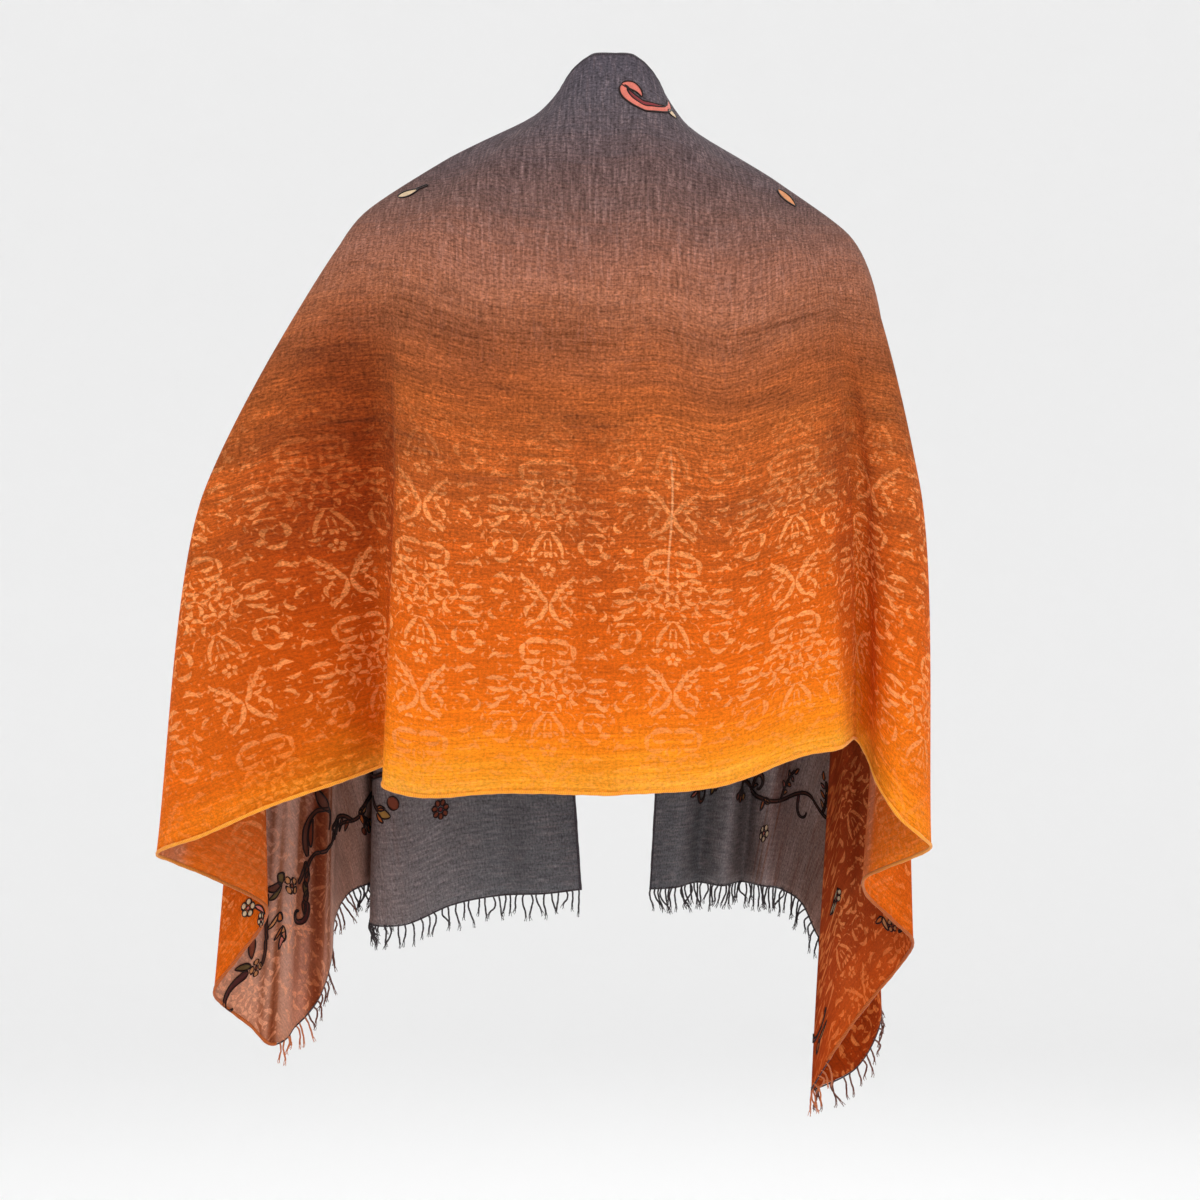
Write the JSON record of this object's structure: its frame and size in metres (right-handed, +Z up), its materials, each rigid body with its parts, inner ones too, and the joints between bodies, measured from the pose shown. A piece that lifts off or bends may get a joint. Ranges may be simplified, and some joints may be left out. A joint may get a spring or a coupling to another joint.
{
  "type": "embroidered stole in its worn form",
  "caption": "Long woven stole with embroidered motifs and fringed ends, hanging hollow over the shoulders as it is worn.",
  "frame": {"origin": "base of the neck, midway between the shoulders, where the wearer holds the stole up", "axes": "+Z up; +Y the way the wearer faces; +X the wearer's right hand side"},
  "size_m": [0.6861, 0.3718, 0.975],
  "materials": {
    "grey_cloth": "fine matt woven wool, smoke grey with slubs",
    "dyed_cloth": "fine matt woven wool dyed from grey through rust to orange, with woven damask figures",
    "golden_hem": "narrow rolled hem, golden yellow",
    "grey_hem": "narrow rolled hem, charcoal grey",
    "fringe_yarn": "twisted wool yarn",
    "embroidery_thread": "satin-stitched cotton thread in coral, cream, orange and russet, outlined in dark brown"
  },
  "bodies": {
    "root": {"neck_and_shoulders": "grey_cloth", "back_panel": "dyed_cloth", "left_back": "dyed_cloth", "right_back": "dyed_cloth", "left_cascade": "dyed_cloth", "right_cascade": "dyed_cloth", "left_front": "dyed_cloth", "right_front": "dyed_cloth", "lower_hem": "golden_hem", "upper_hem_neck": "grey_hem", "upper_hem_left": "grey_hem", "upper_hem_right": "grey_hem", "left_fringe": "fringe_yarn", "right_fringe": "fringe_yarn"}
  },
  "joints": []
}
